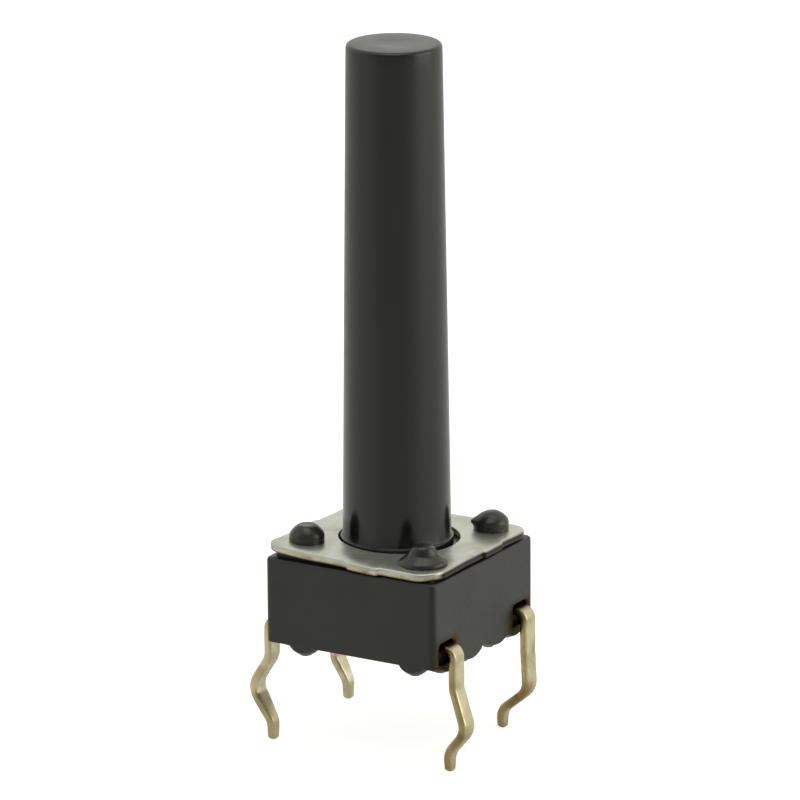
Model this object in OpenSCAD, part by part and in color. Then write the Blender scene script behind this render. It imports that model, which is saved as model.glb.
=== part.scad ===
// Through-hole tactile push button, 6 mm square, with a long tapered plunger.
//
// Frame: millimetres, +Z up. The origin is the centre of the seating plane, where the
// stand-off feet rest on the circuit board. The legs reach below it, the plunger rises above it.
// Front is -Y. The legs leave the two sides that face -X and +X.
//
// Lists with one value per corner run front left, front right, back right, back left.

/* [Base moulding] */
// Width of the square base across its sides
body_w = 6.05; // [5.8:0.05:6.4]
// Height of the base from its underside to the cover's seat
body_h = 2.9; // [2.8:0.05:3.3]
// Radius on the base's upright corners
body_corner_r = 0.2; // [0.15:0.05:0.4]
// Chamfer round the base's top edge
body_chamfer = 0.12; // [0.05:0.01:0.14]
// Diameter of the round well that holds the dome and the plunger's flange
well_d = 4.6; // [4.5:0.05:4.8]
// Thickness of plastic under the contact strips
floor_t = 0.43; // [0.31:0.02:0.61]

/* [Stand-off feet] */
// Height of the feet under the base
foot_h = 0.3; // [0.2:0.01:0.4]
// Diameter of a foot where it meets the base, before it is cut flush with the base's side
foot_root_d = 1.3; // [1.1:0.05:1.3]
// Diameter of a foot where it meets the board
foot_tip_d = 0.45; // [0.3:0.05:0.6]
// Distance of each foot's axis from the nearest side of the base
foot_inset = 0.4; // [0.35:0.05:0.6]
// Spacing of the two feet at the front, and of the two at the back
foot_pitch = 3.92; // [3.8:0.02:4.2]
// How far the front pair is set over to the right, and the back pair to the left
foot_shift = 0.28; // [0:0.02:0.3]
// Spacing of the outer two feet on each leg side
side_foot_pitch = 4; // [3.9:0.05:4.2]
// Spacing of the inner two feet on each leg side
mid_foot_pitch = 1.6; // [1.6:0.02:1.8]
// How far the inner two are set over towards the back on the right, and the front on the left
mid_foot_shift = 0.12; // [0:0.02:0.2]
// Diameter of the support-pin holes that the mould leaves in the underside
pin_hole_d = 0.7; // [0.5:0.05:0.75]

/* [Heat-staked posts] */
// Spacing of the four posts along each side
post_pitch = 4.15; // [4.1:0.05:4.2]
// Diameter of a post's shank
post_d = 0.8; // [0.6:0.05:0.9]
// Diameter of each flattened head
head_d = [1.2, 1.46, 1.26, 1.22]; // [1.1:0.02:1.5]
// Height of each flattened head above the cover
head_h = [0.6, 0.46, 0.56, 0.5]; // [0.3:0.02:0.6]
// Diameter of the flat that the staking tool leaves on top of each head
head_flat_d = [0.6, 0.4, 0.35, 0.45]; // [0.3:0.05:0.9]

/* [Cover plate] */
// Width of the square cover plate
cover_w = 6.04; // [5.8:0.02:6.1]
// Thickness of the cover plate
cover_t = 0.22; // [0.2:0.01:0.35]
// Radius on the cover's corners
cover_corner_r = 0.65; // [0.4:0.05:0.9]
// Roll-over that the stamping tool leaves round the cover's upper edge
cover_roll = 0.06; // [0.03:0.01:0.1]
// Clearance round each post in its hole
post_play = 0.02; // [0.01:0.01:0.05]
// Length of the shear nib left on each edge of the cover
nib_l = 1.1; // [0.8:0.1:1.4]
// How far each nib lies from the middle of its edge
nib_shift = 0.5; // [0:0.1:0.8]
// How far a shear nib stands out of the edge
nib_out = 0.08; // [0.04:0.01:0.12]

/* [Plunger] */
// Height of the plunger's tip above the circuit board
overall_h = 19; // [7:0.5:22]
// Diameter of the stem where it leaves the cover
stem_base_d = 3.36; // [3.1:0.02:3.42]
// Diameter of the stem at its tip
stem_tip_d = 2.94; // [2.7:0.01:3.1]
// Radius on the tip's edge
stem_edge_r = 0.12; // [0.05:0.01:0.3]
// Diameter of the collar that runs in the cover's hole
collar_d = 3.54; // [3.44:0.02:3.6]
// How far the collar stands above the cover at rest
collar_up = 0.06; // [0.04:0.01:0.15]
// Clearance round the collar in the cover's hole
collar_play = 0.09; // [0.05:0.01:0.1]
// Clearance round the flange in the well
flange_play = 0.08; // [0.05:0.01:0.12]
// Thickness of the flange that the cover holds down
flange_t = 0.8; // [0.6:0.05:1]
// Diameter of the boss that pushes on the dome
boss_d = 2; // [1.4:0.1:2.4]
// Chamfer round the boss's end
boss_chamfer = 0.25; // [0.1:0.05:0.3]
// Slack above the flange and below the boss when nothing is pressed
rest_gap = 0.02; // [0.01:0.01:0.03]
// How far the plunger travels when it is pressed
travel = 0.25; // [0.15:0.01:0.3]

/* [Snap dome] */
// Thickness of the dome's spring steel
dome_t = 0.08; // [0.05:0.01:0.1]
// Clearance round the dome in the well
dome_play = 0.1; // [0.05:0.01:0.2]
// Width of the dome across its two flats
dome_flats = 3.3; // [2.8:0.1:3.5]

/* [Contact strips and legs] */
// Thickness of the strip metal
strip_t = 0.27; // [0.2:0.01:0.35]
// Width of a strip and of its legs
leg_w = 0.64; // [0.5:0.02:0.7]
// Spacing of the two legs on one side
leg_pitch = 4.5; // [4.3:0.05:4.6]
// Gap between the base's side and the upright part of a leg
leg_gap = 0.115; // [0.05:0.005:0.2]
// Inner radius of the bend where a leg leaves the base
shoulder_r = 0.15; // [0.1:0.01:0.2]
// Reach of the legs below the board's top face
leg_drop = 3.1; // [2.8:0.05:3.6]
// Length of the upright run between a leg's shoulder and its kink
leg_run = 1.25; // [1:0.05:1.3]
// Depth of each leg's snap-in kink below the board's top face
kink_drop = [1.4, 1.7, 1.7, 1.65]; // [1.3:0.05:1.75]
// How far each leg's kink stands outward
kink_out = [0.64, 0.41, 0.07, 0.43]; // [0:0.01:0.68]
// How far each leg's tip is bent inward, or outward where it is negative
tip_in = [0.01, 0.24, 0.9, 0.01]; // [-0.1:0.01:0.95]
// Length of the upright end below the kink
tip_run = 0.6; // [0.4:0.05:0.7]
// Width of a leg's tip
tip_w = 0.26; // [0.2:0.02:0.5]
// Length over which a leg narrows to its tip
tip_taper = 1.5; // [0.8:0.1:1.7]
// Inner radius of the kink's bends
kink_r = 0.45; // [0.1:0.05:0.6]
// Width of the tongue that reaches the centre contact
tongue_w = 1.1; // [0.9:0.05:1.3]
// Width of the two arms that carry the dome's rim
arm_w = 0.8; // [0.6:0.05:0.9]
// How far the arms reach past the switch's middle
arm_reach = 1.2; // [0.8:0.1:1.3]
// Diameter of the centre contact's raised spot
spot_d = 0.9; // [0.6:0.05:1]
// Height of the centre contact's raised spot
spot_h = 0.06; // [0.03:0.01:0.1]
// How far each leg stands over to one side in its notch, towards the back
leg_side = [0, 0.12, 0, 0]; // [-0.12:0.01:0.12]
// Clearance on both sides of a leg in its notch
notch_play = 0.14; // [0.13:0.01:0.2]
// Depth of that notch in the base's side
notch_depth = 0.3; // [0.2:0.05:0.35]
// Height of the notch above the strip
notch_over = 0.1; // [0.05:0.01:0.3]
// Radius in the notch's two upper corners
notch_r = 0.16; // [0.08:0.01:0.2]

/* [Hidden] */
$fn = 48;

// Steps in each bend of a strip's outline
bend_steps = 8;
// Extra length that lets a cutting shape pass through a face
cut = 0.5;

// Levels, counted up from the circuit board
underside_z = foot_h;
strip_z = underside_z + floor_t;
contact_z = strip_z + strip_t;
cover_z = underside_z + body_h;
cover_top_z = cover_z + cover_t;

// Dome: a shallow cap whose middle clears the centre contact by the plunger's travel
dome_r = well_d / 2 - dome_play;
dome_rise = spot_h + travel;
dome_in_r = (dome_r * dome_r + dome_rise * dome_rise) / (2 * dome_rise);
dome_top_z = contact_z + dome_rise + dome_t;

// Plunger levels
flange_top_z = cover_z - rest_gap;
flange_z = flange_top_z - flange_t;
boss_z = dome_top_z + rest_gap;
collar_z = cover_top_z + collar_up;

// Plan positions
cover_hole_d = collar_d + 2 * collar_play;
foot_out = body_w / 2 - foot_inset;
leg_x = body_w / 2 + leg_gap + strip_t / 2;
leg_y = leg_pitch / 2;
arm_x = dome_r - arm_w / 2 + dome_play;
notch_w = leg_w + 2 * notch_play;
corner_signs = [[-1, -1], [1, -1], [1, 1], [-1, 1]];

// A square with true round corners, centred on the origin.
module rounded_square(w, r) {
    square([w - 2 * r, w], center = true);
    square([w, w - 2 * r], center = true);
    for (s = corner_signs)
        translate(s * (w / 2 - r)) circle(r);
}

// The top slice of a rounded square block, chamfered all round.
module chamfer_slab(w, r, c) {
    side = [[-w / 2, 0], [w / 2, 0], [w / 2 - c, c], [c - w / 2, c]];
    for (turn = [0, 90])
        rotate([90, 0, turn])
            linear_extrude(w - 2 * r, center = true) polygon(side);
    for (s = corner_signs)
        translate(s * (w / 2 - r)) cylinder(c, r, r - c);
}

// A round cap of diameter d and height h, cut from one sphere.
module cap(d, h) {
    r = (d * d / 4 + h * h) / (2 * h);
    intersection() {
        translate([0, 0, h - r]) sphere(r);
        cylinder(h + cut, d = d + 2 * cut);
    }
}

// A staked post, turned in one piece from its root at z = 0: a shank of length shank_l,
// then a head that is rounded at the rim, with the tool's flat on top.
module staked_post(shank_l, d, flat_d, h) {
    side = [for (i = [0:bend_steps]) let (t = 90 * i / bend_steps)
        [(flat_d + (d - flat_d) * cos(t)) / 2, shank_l + h * sin(t)]];
    shank = [[0, 0], [post_d / 2, 0], [post_d / 2, shank_l]];
    rotate_extrude() polygon(concat(shank, side, [[0, shank_l + h]]));
}

// Rounds the corners of an open path: each inner point becomes an arc of radius r.
function unit(v) = v / norm(v);
function arc_at(a, b, c, r) =
    let (
        u = unit(a - b),
        v = unit(c - b),
        half = acos(u * v) / 2,
        centre = b + unit(u + v) * r / sin(half),
        from = b + u * r / tan(half) - centre,
        turn = sign(cross(b - a, c - b)) * (180 - 2 * half)
    )
    [for (i = [0:bend_steps]) let (t = turn * i / bend_steps)
        centre + [from.x * cos(t) - from.y * sin(t), from.x * sin(t) + from.y * cos(t)]];
function rounded_path(points, radii) = [
    points[0],
    for (i = [1:len(points) - 2])
        each arc_at(points[i - 1], points[i], points[i + 1], radii[i - 1]),
    points[len(points) - 1]
];

// The outline of a strip of thickness t that follows a path.
function along(path, i) =
    unit(path[min(i + 1, len(path) - 1)] - path[max(i - 1, 0)]);
function beside(path, d) =
    [for (i = [0:len(path) - 1]) let (u = along(path, i)) path[i] + [-u.y, u.x] * d];
function strip_outline(path, t) =
    let (far = beside(path, -t / 2))
    concat(beside(path, t / 2), [for (i = [len(far) - 1:-1:0]) far[i]]);

// Centre line of one leg in its own plane: distance outward from the middle, and height.
// It is given by its kink's depth, how far the kink stands out, and how far the tip goes in.
function leg_path(drop, out, in) =
    let (
        bend = shoulder_r + strip_t / 2,
        kink = kink_r + strip_t / 2,
        z = strip_z + strip_t / 2
    )
    rounded_path(
        [
            [leg_x - bend - strip_t / 2, z],
            [leg_x, z],
            [leg_x, z - leg_run],
            [leg_x + out, -drop],
            [leg_x - in, -leg_drop + tip_run],
            [leg_x - in, -leg_drop]
        ],
        [bend, kink, kink, kink]
    );

// One leg on the +X side, standing at y = 0.
module leg(corner) {
    path = leg_path(kink_drop[corner], kink_out[corner], tip_in[corner]);
    intersection() {
        rotate([90, 0, 0])
            linear_extrude(leg_w, center = true) polygon(strip_outline(path, strip_t));
        rotate([90, 0, 90])
            linear_extrude(2 * leg_x) leg_blank();
    }
}

// The leg as it is cut from the sheet, seen flat: full width above, narrowing to a round tip.
module leg_blank() {
    tip_r = tip_w / 2;
    translate([0, tip_r - leg_drop]) circle(tip_r);
    polygon([
        [-leg_w / 2, contact_z + cut],
        [-leg_w / 2, tip_taper - leg_drop],
        [-tip_r, tip_r - leg_drop],
        [tip_r, tip_r - leg_drop],
        [leg_w / 2, tip_taper - leg_drop],
        [leg_w / 2, contact_z + cut]
    ]);
}

// Both legs of the strip that crosses the base at y, by their corner numbers.
module legs(y, left, right) {
    translate([0, y + leg_side[right], 0]) leg(right);
    translate([0, y + leg_side[left], 0]) mirror([1, 0, 0]) leg(left);
}

// Flat part of the strip between two legs, as cut from the sheet.
module strip_bar(y, left, right) {
    end_x = leg_x - shoulder_r - strip_t;
    left_y = y + leg_side[left];
    right_y = y + leg_side[right];
    half = leg_w / 2;
    polygon([
        [-end_x, left_y - half],
        [end_x, right_y - half],
        [end_x, right_y + half],
        [-end_x, left_y + half]
    ]);
}

module centre_strip_plan() {
    strip_bar(-leg_y, 0, 1);
    translate([-tongue_w / 2, -leg_y]) square([tongue_w, leg_y + tongue_w / 2]);
}

module rim_strip_plan() {
    strip_bar(leg_y, 3, 2);
    for (s = [-1, 1])
        translate([s * arm_x - arm_w / 2, -arm_reach]) square([arm_w, leg_y + arm_reach]);
}

// Strip that carries the centre contact under the dome.
module centre_contact_strip() {
    color("#c9b67f") {
        translate([0, 0, strip_z]) linear_extrude(strip_t) centre_strip_plan();
        translate([0, 0, contact_z]) cap(spot_d, spot_h);
        legs(-leg_y, 0, 1);
    }
}

// Strip whose two arms carry the dome's rim.
module rim_contact_strip() {
    color("#c9b67f") {
        translate([0, 0, strip_z]) linear_extrude(strip_t) rim_strip_plan();
        legs(leg_y, 3, 2);
    }
}

// Plastic base, moulded round the strips, with its posts already staked over the cover.
module base() {
    color("#2b2c2a")
    difference() {
        union() {
            base_block();
            feet();
            posts();
        }
        translate([0, 0, contact_z]) cylinder(body_h, d = well_d);
        strip_beds();
        leg_notches();
        pin_holes();
    }
}

module base_block() {
    upright_h = body_h - body_chamfer;
    translate([0, 0, underside_z])
        linear_extrude(upright_h) rounded_square(body_w, body_corner_r);
    translate([0, 0, underside_z + upright_h])
        chamfer_slab(body_w, body_corner_r, body_chamfer);
}

// A foot at a place under the base: a cone that narrows to the board.
module foot(x, y) {
    translate([x, y, 0]) cylinder(foot_h, d1 = foot_tip_d, d2 = foot_root_d);
}

// All the feet, cut flush with the sides of the base.
module feet() {
    intersection() {
        for (s = corner_signs) {
            foot(s.x * foot_pitch / 2 - s.y * foot_shift, s.y * foot_out);
            foot(s.x * foot_out, s.y * side_foot_pitch / 2);
            foot(s.x * foot_out, s.y * mid_foot_pitch / 2 + s.x * mid_foot_shift);
        }
        linear_extrude(foot_h) rounded_square(body_w, body_corner_r);
    }
}

// The posts start inside the base and end in their heads on the cover.
module posts() {
    for (i = [0:3])
        translate(corner_signs[i] * post_pitch / 2)
            translate([0, 0, cover_z - cut])
                staked_post(cut + cover_t, head_d[i], head_flat_d[i], head_h[i]);
}

module strip_beds() {
    translate([0, 0, strip_z])
        linear_extrude(strip_t) {
            centre_strip_plan();
            rim_strip_plan();
        }
}

module leg_notches() {
    for (s = corner_signs)
        translate([s.x * body_w / 2, s.y * leg_y, contact_z + notch_over])
            rotate([90, 0, 90])
                linear_extrude(2 * notch_depth, center = true) notch_front();
}

// A notch seen from the side, hanging from its upper edge.
module notch_front() {
    drop = contact_z + notch_over - underside_z + cut;
    translate([-notch_w / 2, -drop]) square([notch_w, drop - notch_r]);
    translate([notch_r - notch_w / 2, -drop]) square([notch_w - 2 * notch_r, drop]);
    for (side = [-1, 1])
        translate([side * (notch_w / 2 - notch_r), -notch_r]) circle(notch_r);
}

// One hole in the middle, and one on each side, halfway between the inner feet.
module pin_holes() {
    for (side = [-1:1])
        translate([side * arm_x, side * mid_foot_shift, underside_z - cut])
            cylinder(floor_t + cut, d = pin_hole_d);
}

// Stamped plate, held down by the staked heads.
module cover_plate() {
    color("#c3c4b4")
    translate([0, 0, cover_z])
        difference() {
            union() {
                linear_extrude(cover_t - cover_roll) cover_blank();
                translate([0, 0, cover_t - cover_roll])
                    chamfer_slab(cover_w, cover_corner_r, cover_roll);
            }
            translate([0, 0, -cut]) linear_extrude(cover_t + 2 * cut) cover_holes();
        }
}

module cover_holes() {
    circle(d = cover_hole_d);
    for (s = corner_signs)
        translate(s * post_pitch / 2) circle(post_d / 2 + post_play);
}

module cover_blank() {
    rounded_square(cover_w, cover_corner_r);
    for (turn = [0:90:270])
        rotate(turn)
            translate([nib_shift - nib_l / 2, -cover_w / 2 - nib_out])
                square([nib_l, 2 * nib_out]);
}

// Push button: long tapered stem, flange held under the cover, and boss on the dome.
module plunger() {
    color("#333432")
    rotate_extrude()
        polygon(plunger_profile());
}

function plunger_profile() =
    let (
        flange_r = well_d / 2 - flange_play,
        base_r = stem_base_d / 2,
        edge_x = stem_tip_d / 2 - stem_edge_r,
        edge_z = overall_h - stem_edge_r,
        edge = [for (i = [0:bend_steps]) let (t = 90 * i / bend_steps)
            [edge_x + stem_edge_r * cos(t), edge_z + stem_edge_r * sin(t)]]
    )
    concat(
        [
            [0, boss_z],
            [boss_d / 2 - boss_chamfer, boss_z],
            [boss_d / 2, boss_z + boss_chamfer],
            [boss_d / 2, flange_z],
            [flange_r, flange_z],
            [flange_r, flange_top_z],
            [collar_d / 2, flange_top_z],
            [collar_d / 2, collar_z],
            [base_r, collar_z]
        ],
        edge,
        [[0, overall_h]]
    );

// Spring-steel dome: its two round ends stand on the arms and its middle lifts the plunger.
module snap_dome() {
    color("#b9bcbe")
    intersection() {
        translate([0, 0, dome_top_z - dome_t - dome_in_r])
            difference() {
                sphere(dome_in_r + dome_t);
                sphere(dome_in_r);
            }
        translate([0, 0, contact_z]) cylinder(dome_rise + cut, r = dome_r);
        cube([well_d, dome_flats, 2 * (dome_top_z + cut)], center = true);
    }
}

base();
cover_plate();
plunger();
snap_dome();
centre_contact_strip();
rim_contact_strip();
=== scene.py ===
# %% [markdown]
# # Dressing a small push button
# The CAD model gives us a push button for circuit boards: a square black base, a stamped
# metal cover held by four melted posts, four bent legs, and a long plunger. Every solid is
# already in place. In this lesson we keep those places and give each visible piece the soft
# edges, the small faults and the finish of the real one.
#
# We load the frame first. It is the fixed model that everything else is built around.

# %% Load the frame
import math
from functools import reduce

import bmesh
import bpy
from mathutils import Matrix, Vector, geometry, noise


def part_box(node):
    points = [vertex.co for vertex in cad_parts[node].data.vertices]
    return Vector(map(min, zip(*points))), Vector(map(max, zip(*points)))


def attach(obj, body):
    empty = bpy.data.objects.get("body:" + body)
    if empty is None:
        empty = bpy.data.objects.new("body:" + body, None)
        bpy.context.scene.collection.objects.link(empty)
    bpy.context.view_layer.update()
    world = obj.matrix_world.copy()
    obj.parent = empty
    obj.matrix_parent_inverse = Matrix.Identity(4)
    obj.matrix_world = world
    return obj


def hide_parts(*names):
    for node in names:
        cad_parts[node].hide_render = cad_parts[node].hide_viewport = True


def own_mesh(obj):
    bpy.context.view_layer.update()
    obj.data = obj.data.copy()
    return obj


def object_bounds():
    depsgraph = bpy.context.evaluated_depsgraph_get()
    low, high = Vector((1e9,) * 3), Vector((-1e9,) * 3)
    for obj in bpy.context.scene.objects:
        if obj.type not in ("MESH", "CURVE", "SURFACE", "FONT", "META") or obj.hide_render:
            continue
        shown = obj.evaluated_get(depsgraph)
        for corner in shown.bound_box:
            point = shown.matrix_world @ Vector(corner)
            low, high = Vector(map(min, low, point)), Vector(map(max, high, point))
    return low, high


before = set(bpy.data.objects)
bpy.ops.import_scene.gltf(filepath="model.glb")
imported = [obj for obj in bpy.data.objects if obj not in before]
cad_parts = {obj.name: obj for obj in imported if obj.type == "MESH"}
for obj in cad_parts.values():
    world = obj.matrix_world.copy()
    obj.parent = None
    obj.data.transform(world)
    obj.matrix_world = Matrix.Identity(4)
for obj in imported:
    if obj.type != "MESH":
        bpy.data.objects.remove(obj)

cad_lo, cad_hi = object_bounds()
print("CAD box:", [round(v * 1000, 3) for v in (*cad_lo, *cad_hi)], "mm")

# %% [markdown]
# Blender works in metres and this part is made in hundredths of a millimetre, so one named
# unit keeps the sizes readable. The levels come from the CAD boxes: if the part changes,
# they follow.

# %% Sizes that the frame gives
MM = 0.001
# The signs of x and y at the front left, front right, back right and back left corner
CORNERS = [(-1, -1), (1, -1), (1, 1), (-1, 1)]


def mm(*sizes):
    """Sizes given in millimetres, in Blender's metres."""
    return [size * MM for size in sizes]


cover_lo, cover_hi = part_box("cover_plate")
plunger_lo, plunger_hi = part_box("plunger")
dome_lo, dome_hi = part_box("snap_dome")
base_lo, base_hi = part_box("base")

board_z, half_body = base_lo.z, base_hi.x
cover_z, cover_top_z = cover_lo.z, cover_hi.z
contact_z, leg_tip_z = dome_lo.z, cad_lo.z
print("cover from", round(cover_z / MM, 3), "to", round(cover_top_z / MM, 3), "mm above the board")

# %% [markdown]
# ## Camera
# A long lens far away, a little above the part and to the right of its front. We build the
# camera's axes from three angles, so that it looks the same way each time. Depth of field
# stays off, and there is no lens shift.

# %% Helpers: a direction, a new object
def toward(azimuth, elevation):
    """A direction away from the part: 0 degrees is the front, 90 is the right."""
    a, e = math.radians(azimuth), math.radians(elevation)
    return Vector((math.sin(a) * math.cos(e), -math.cos(a) * math.cos(e), math.sin(e)))


def add_object(name, data):
    obj = bpy.data.objects.new(name, data)
    bpy.context.scene.collection.objects.link(obj)
    return obj


# %% Camera
view_azimuth, view_elevation = 30.92, 16.05
view_roll = math.radians(-0.36)
view_distance = 195.8 * MM
aim_low, aim_right = mm(0.182, 0.045)

toward_camera = toward(view_azimuth, view_elevation)
level_right = toward(view_azimuth + 90, 0)
level_up = toward_camera.cross(level_right)
camera_right = math.cos(view_roll) * level_right + math.sin(view_roll) * level_up
camera_up = toward_camera.cross(camera_right)
camera_axes = Matrix((camera_right, camera_up, toward_camera)).transposed().to_4x4()

middle = (cad_lo + cad_hi) / 2
look_at = Vector((0, 0, middle.z - aim_low)) + aim_right * level_right

camera_data = bpy.data.cameras.new("camera")
camera_data.sensor_width = 36
camera_data.lens = 287.07
camera_data.clip_start = 0.01
camera = add_object("camera", camera_data)
camera.matrix_world = Matrix.Translation(look_at + toward_camera * view_distance) @ camera_axes
bpy.context.scene.camera = camera
bpy.context.scene.view_settings.view_transform = "Standard"
print("camera", round(view_distance / MM), "mm away, lens", camera_data.lens, "mm")

# %% [markdown]
# ## Nodes by hand
# Materials and Geometry Nodes trees are both node trees, so a few small helpers serve both.
# *Put* adds a node, sets it up and feeds its inputs. An input takes either a value or the
# output of another node. An output knows the tree that it is in, so the helpers for sums find
# their tree by themselves.

# %% Helpers: add a node, do sums with nodes
def feed(socket, value):
    """Gives an input a plain value, or the output of another node."""
    if isinstance(value, bpy.types.NodeSocket):
        socket.id_data.links.new(value, socket)
    else:
        socket.default_value = value


def put(tree, kind, inputs=None, **settings):
    node = tree.nodes.new(kind)
    for key, value in settings.items():
        setattr(node, key, value)
    for key, value in (inputs or {}).items():
        feed(node.inputs[key], value)
    return node


def tree_of(values):
    """The tree that the outputs among some values are in."""
    return next(v.id_data for v in values if isinstance(v, bpy.types.NodeSocket))


def calculate(operation, *values, clamp=False):
    """A sum with numbers. At least one of them is the output of a node."""
    inputs = dict(enumerate(values))
    return put(tree_of(values), "ShaderNodeMath", inputs, operation=operation, use_clamp=clamp).outputs[0]


def plus(*values):
    return reduce(lambda a, b: calculate("ADD", a, b), values)


def minus(*values):
    return reduce(lambda a, b: calculate("SUBTRACT", a, b), values)


def times(*values):
    return reduce(lambda a, b: calculate("MULTIPLY", a, b), values)


def vector(operation, *values):
    """The same for places and directions. SCALE takes a place and a number."""
    inputs = dict(zip((0, "Scale") if operation == "SCALE" else (0, 1), values))
    node = put(tree_of(values), "ShaderNodeVectorMath", inputs, operation=operation)
    return node.outputs["Value" if operation in ("DOT_PRODUCT", "DISTANCE") else "Vector"]


def axis(place, name):
    """One coordinate of a place."""
    return put(place.id_data, "ShaderNodeSeparateXYZ", {0: place}).outputs[name]


def spread(value, low, high, start=0.0, end=1.0, smooth=False):
    """Turns a value that runs from start to end into one that runs from low to high."""
    return put(value.id_data, "ShaderNodeMapRange", {
        "Value": value, "From Min": start, "From Max": end, "To Min": low, "To Max": high},
        interpolation_type="SMOOTHSTEP" if smooth else "LINEAR").outputs[0]


# %% [markdown]
# ## Studio
# The part stands in a plain white light tent: light comes from everywhere, a little less from
# the dark side where the camera stands, and two soft boxes add shape from the right and from
# above. A black glossy part shows little more than what it mirrors, so this is what draws it.
# What the camera sees straight behind the part is plain white.

# %% World
world = bpy.data.worlds.new("light_tent")
world.use_nodes = True
bpy.context.scene.world = world
sky = world.node_tree
sky.nodes.clear()

tent_white, tent_lens_side, tent_fill = 0.95, 0.25, 0.62
warm_white = (1.0, 1.01, 0.93, 1)


def background(color, strength):
    return put(sky, "ShaderNodeBackground", {"Color": color, "Strength": strength}).outputs[0]


def choose(mask, first, second):
    return put(sky, "ShaderNodeMixShader", {0: mask, 1: first, 2: second}).outputs[0]


direction = put(sky, "ShaderNodeTexCoord").outputs["Generated"]
facing = vector("DOT_PRODUCT", direction, toward_camera)
tent = spread(facing, tent_white, tent_lens_side, 0.15, 0.95, smooth=True)
rays = put(sky, "ShaderNodeLightPath").outputs
mirrored = calculate("MAXIMUM", rays["Is Glossy Ray"], rays["Is Transmission Ray"])
tent_light = choose(mirrored, background(warm_white, tent_fill), background(warm_white, tent))
seen = choose(rays["Is Camera Ray"], tent_light, background((1, 1, 1, 1), 1))
put(sky, "ShaderNodeOutputWorld", {"Surface": seen})
print("tent:", tent_white, "white,", tent_lens_side, "on the camera's side")


# %% Soft boxes
def soft_box(name, azimuth, elevation, distance, width, brightness):
    """A square area light that looks at the part. Brightness is what it looks like in a mirror."""
    back = toward(azimuth, elevation)
    data = bpy.data.lights.new(name, "AREA")
    data.shape = "SQUARE"
    data.size = width
    data.energy = brightness * math.pi * width * width
    data.color = warm_white[:3]
    turned = back.to_track_quat("Z", "Y").to_matrix().to_4x4()
    add_object(name, data).matrix_world = Matrix.Translation(middle + back * distance) @ turned
    print(name, round(data.energy, 3), "W")


soft_box("right_soft_box", azimuth=106, elevation=14, distance=160 * MM, width=135 * MM, brightness=1.45)
soft_box("top_soft_box", azimuth=20, elevation=78, distance=170 * MM, width=120 * MM, brightness=1.3)

# %% [markdown]
# The floor is the pale sheet under the part. It takes the part's shadow as any matt sheet
# does. A little of its own light, shown only to the camera and to mirrors, lifts it to the
# same white as the sheet behind, so that no horizon shows.

# %% Floor
floor_half = 1.5
floor_mesh = bpy.data.meshes.new("floor")
floor_corners = [(sx * floor_half, sy * floor_half, leg_tip_z) for sx, sy in CORNERS]
floor_mesh.from_pydata(floor_corners, [], [(0, 1, 2, 3)])
floor = add_object("floor", floor_mesh)

paper = bpy.data.materials.new("white_paper")
paper.use_nodes = True
sheet = paper.node_tree
sheet.nodes.clear()
rays = put(sheet, "ShaderNodeLightPath").outputs
camera_lift = times(rays["Is Camera Ray"], 0.75)
outward = vector("NORMALIZE", put(sheet, "ShaderNodeTexCoord").outputs["Object"])
level_back = Vector((toward_camera.x, toward_camera.y, 0)).normalized()
lens_side = vector("DOT_PRODUCT", outward, level_back)
mirror_glow = spread(lens_side, 0.34, 0.06, 0.55, 0.95, smooth=True)
mirror_rays = calculate("MAXIMUM", rays["Is Glossy Ray"], rays["Is Transmission Ray"])
glow = put(sheet, "ShaderNodeEmission", {"Strength": plus(camera_lift, times(mirror_rays, mirror_glow))})
matt = put(sheet, "ShaderNodeBsdfDiffuse", {"Color": (0.6, 0.6, 0.57, 1)})
both = put(sheet, "ShaderNodeAddShader", {0: matt.outputs[0], 1: glow.outputs[0]})
put(sheet, "ShaderNodeOutputMaterial", {"Surface": both.outputs[0]})
floor_mesh.materials.append(paper)
print("floor at", round(leg_tip_z / MM, 3), "mm")


# %% [markdown]
# ## Shared surface effects
# Three effects come back in several finishes, so each is a node group that is built once.
# A group only puts out masks, values and heights. The shaders stay in the materials.
#
# * *Fine grain* is the texture of the mould or of the rolled sheet.
# * *Handling* is the uneven film that fingers and flux leave: large soft patches.
# * *Scuffs* are thin broken lines where parts have rubbed against each other.

# %% Helpers: start a node group, add noise
def new_group(name, tree_kind, inputs, outputs):
    """A tree with named sockets. An input has a preset, or is a word for what it takes."""
    tree = bpy.data.node_groups.new(name, tree_kind)
    for label, preset in inputs.items():
        kind = preset if isinstance(preset, str) else "Vector" if isinstance(preset, tuple) else "Float"
        socket = tree.interface.new_socket(label, in_out="INPUT", socket_type="NodeSocket" + kind)
        if preset != kind:
            socket.default_value = preset
    for label, kind in outputs.items():
        tree.interface.new_socket(label, in_out="OUTPUT", socket_type="NodeSocket" + kind)
    return tree, put(tree, "NodeGroupInput").outputs, put(tree, "NodeGroupOutput").inputs


def clouds(place, scale, detail, **inputs):
    """Soft noise. Scale is the number of lumps to the metre."""
    return put(place.id_data, "ShaderNodeTexNoise", {
        "Vector": place, "Scale": scale, "Detail": detail, **inputs}).outputs


# %% Fine grain
grain_group, given, result = new_group(
    "fine_grain", "ShaderNodeTree",
    {"Vector": "Vector", "Size": 0.1, "Stretch": (1, 1, 1)}, {"Height": "Float", "Patches": "Float"})
per_metre = calculate("DIVIDE", 1 / MM, given["Size"])
patch_share = 0.12
stretched = vector("MULTIPLY", given["Vector"], given["Stretch"])
feed(result["Height"], clouds(stretched, per_metre, 3, Roughness=0.6)["Fac"])
feed(result["Patches"], clouds(stretched, times(per_metre, patch_share), 4)["Fac"])

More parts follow.
